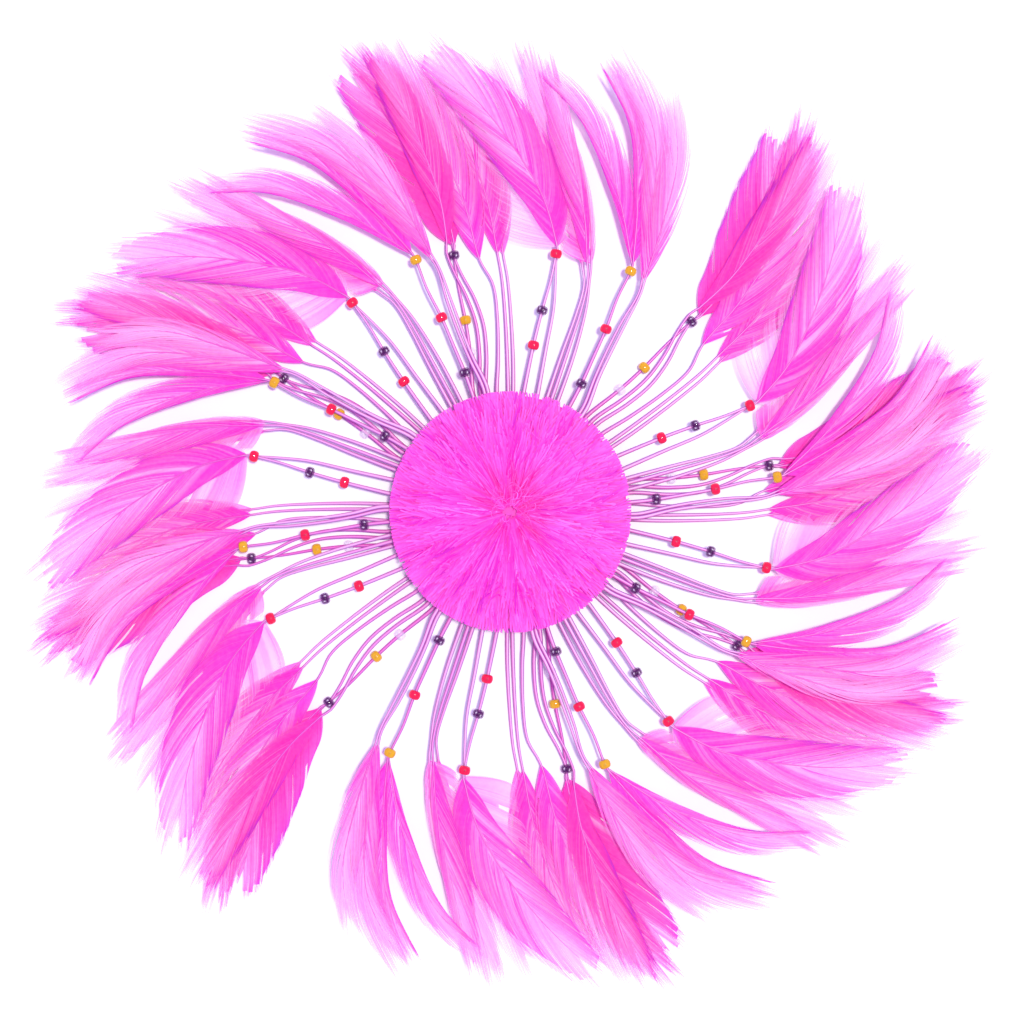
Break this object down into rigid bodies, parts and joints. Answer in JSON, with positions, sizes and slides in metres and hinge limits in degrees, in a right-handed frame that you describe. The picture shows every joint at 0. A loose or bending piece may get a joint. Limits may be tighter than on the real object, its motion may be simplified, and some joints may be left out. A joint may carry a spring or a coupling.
{
  "type": "feather pinwheel ornament",
  "caption": "Flat round ornament of stripped feathers fanned from a trimmed feather pad, with glass seed beads strung on the bare stems; sews or glues to a hat, mask, bodice or headband.",
  "frame": {"origin": "centre of the felt back, on the surface it lies on", "axes": "+Z out of the pad's front, -Z out of the felt back; the middle bead string of spray 1 runs 80.2 degrees from +X towards +Y"},
  "size_m": [0.2602, 0.2586, 0.0131],
  "materials": {
    "felt": "matt pressed felt",
    "buckram": "stiffened open weave",
    "glue": "hot-melt glue",
    "foam": "matt craft foam",
    "stem": "stripped feather shaft, satin",
    "vane": "dyed feather, soft sheen",
    "pad_feather": "dyed trimmed feather",
    "tuft_feather": "dyed curled barbs",
    "red_glass": "glossy opaque glass",
    "yellow_glass": "glossy opaque glass",
    "black_glass": "silver-lined dark glass",
    "clear_glass": "clear glass"
  },
  "bodies": {
    "hub": {"backing_felt": "felt", "buckram_disc": "buckram", "lower_stem_roots": "stem", "glue_lower": "glue", "middle_stem_roots": "stem", "glue_upper": "glue", "upper_stem_roots": "stem", "pad_foam_disc": "foam", "pad_feathers_outer": "pad_feather", "pad_feathers_middle": "pad_feather", "pad_feathers_inner": "pad_feather", "pad_centre_tuft": "tuft_feather"},
    "spray_1": {"spray_1_stems": "stem", "spray_1_vanes": "vane", "spray_1_red_beads": "red_glass", "spray_1_black_beads": "black_glass", "spray_1_yellow_beads": "yellow_glass", "spray_1_clear_bead": "clear_glass"},
    "spray_2": {"spray_2_stems": "stem", "spray_2_vanes": "vane", "spray_2_red_beads": "red_glass", "spray_2_black_beads": "black_glass", "spray_2_yellow_beads": "yellow_glass", "spray_2_clear_bead": "clear_glass"},
    "spray_3": {"spray_3_stems": "stem", "spray_3_vanes": "vane", "spray_3_red_beads": "red_glass", "spray_3_black_beads": "black_glass", "spray_3_yellow_beads": "yellow_glass", "spray_3_clear_bead": "clear_glass"},
    "spray_4": {"spray_4_stems": "stem", "spray_4_vanes": "vane", "spray_4_red_beads": "red_glass", "spray_4_black_beads": "black_glass", "spray_4_yellow_beads": "yellow_glass", "spray_4_clear_bead": "clear_glass"},
    "spray_5": {"spray_5_stems": "stem", "spray_5_vanes": "vane", "spray_5_red_beads": "red_glass", "spray_5_black_beads": "black_glass", "spray_5_yellow_beads": "yellow_glass", "spray_5_clear_bead": "clear_glass"},
    "spray_6": {"spray_6_stems": "stem", "spray_6_vanes": "vane", "spray_6_red_beads": "red_glass", "spray_6_black_beads": "black_glass", "spray_6_yellow_beads": "yellow_glass", "spray_6_clear_bead": "clear_glass"},
    "spray_7": {"spray_7_stems": "stem", "spray_7_vanes": "vane", "spray_7_red_beads": "red_glass", "spray_7_black_beads": "black_glass", "spray_7_yellow_beads": "yellow_glass", "spray_7_clear_bead": "clear_glass"},
    "spray_8": {"spray_8_stems": "stem", "spray_8_vanes": "vane", "spray_8_red_beads": "red_glass", "spray_8_black_beads": "black_glass", "spray_8_yellow_beads": "yellow_glass", "spray_8_clear_bead": "clear_glass"}
  },
  "joints": [
    {"name": "spray_1_lift", "type": "hinge", "parent": "hub", "child": "spray_1", "pos_m": [0.00426, 0.02464, 0.0037], "axis": [0.9854, -0.1702, 0], "range_deg": [0, 15], "stiffness_Nm_per_rad": 0.05},
    {"name": "spray_2_lift", "type": "hinge", "parent": "hub", "child": "spray_2", "pos_m": [0.0228, 0.01025, 0.0037], "axis": [0.4099, -0.9121, 0], "range_deg": [0, 15], "stiffness_Nm_per_rad": 0.05},
    {"name": "spray_3_lift", "type": "hinge", "parent": "hub", "child": "spray_3", "pos_m": [0.02445, -0.0052, 0.0037], "axis": [-0.2079, -0.9781, 0], "range_deg": [0, 15], "stiffness_Nm_per_rad": 0.05},
    {"name": "spray_4_lift", "type": "hinge", "parent": "hub", "child": "spray_4", "pos_m": [0.01515, -0.01989, 0.0037], "axis": [-0.7955, -0.606, 0], "range_deg": [0, 15], "stiffness_Nm_per_rad": 0.05},
    {"name": "spray_5_lift", "type": "hinge", "parent": "hub", "child": "spray_5", "pos_m": [-0.00426, -0.02464, 0.0037], "axis": [-0.9854, 0.1702, 0], "range_deg": [0, 15], "stiffness_Nm_per_rad": 0.05},
    {"name": "spray_6_lift", "type": "hinge", "parent": "hub", "child": "spray_6", "pos_m": [-0.0228, -0.01025, 0.0037], "axis": [-0.4099, 0.9121, 0], "range_deg": [0, 15], "stiffness_Nm_per_rad": 0.05},
    {"name": "spray_7_lift", "type": "hinge", "parent": "hub", "child": "spray_7", "pos_m": [-0.02445, 0.0052, 0.0037], "axis": [0.2079, 0.9781, 0], "range_deg": [0, 15], "stiffness_Nm_per_rad": 0.05},
    {"name": "spray_8_lift", "type": "hinge", "parent": "hub", "child": "spray_8", "pos_m": [-0.01515, 0.01989, 0.0037], "axis": [0.7955, 0.606, 0], "range_deg": [0, 15], "stiffness_Nm_per_rad": 0.05}
  ],
  "couplings": [
    {"joint": "spray_4_lift", "follows": "spray_5_lift", "ratio": 1},
    {"joint": "spray_3_lift", "follows": "spray_5_lift", "ratio": 1},
    {"joint": "spray_2_lift", "follows": "spray_5_lift", "ratio": 1},
    {"joint": "spray_8_lift", "follows": "spray_1_lift", "ratio": 1},
    {"joint": "spray_7_lift", "follows": "spray_1_lift", "ratio": 1},
    {"joint": "spray_6_lift", "follows": "spray_1_lift", "ratio": 1}
  ]
}
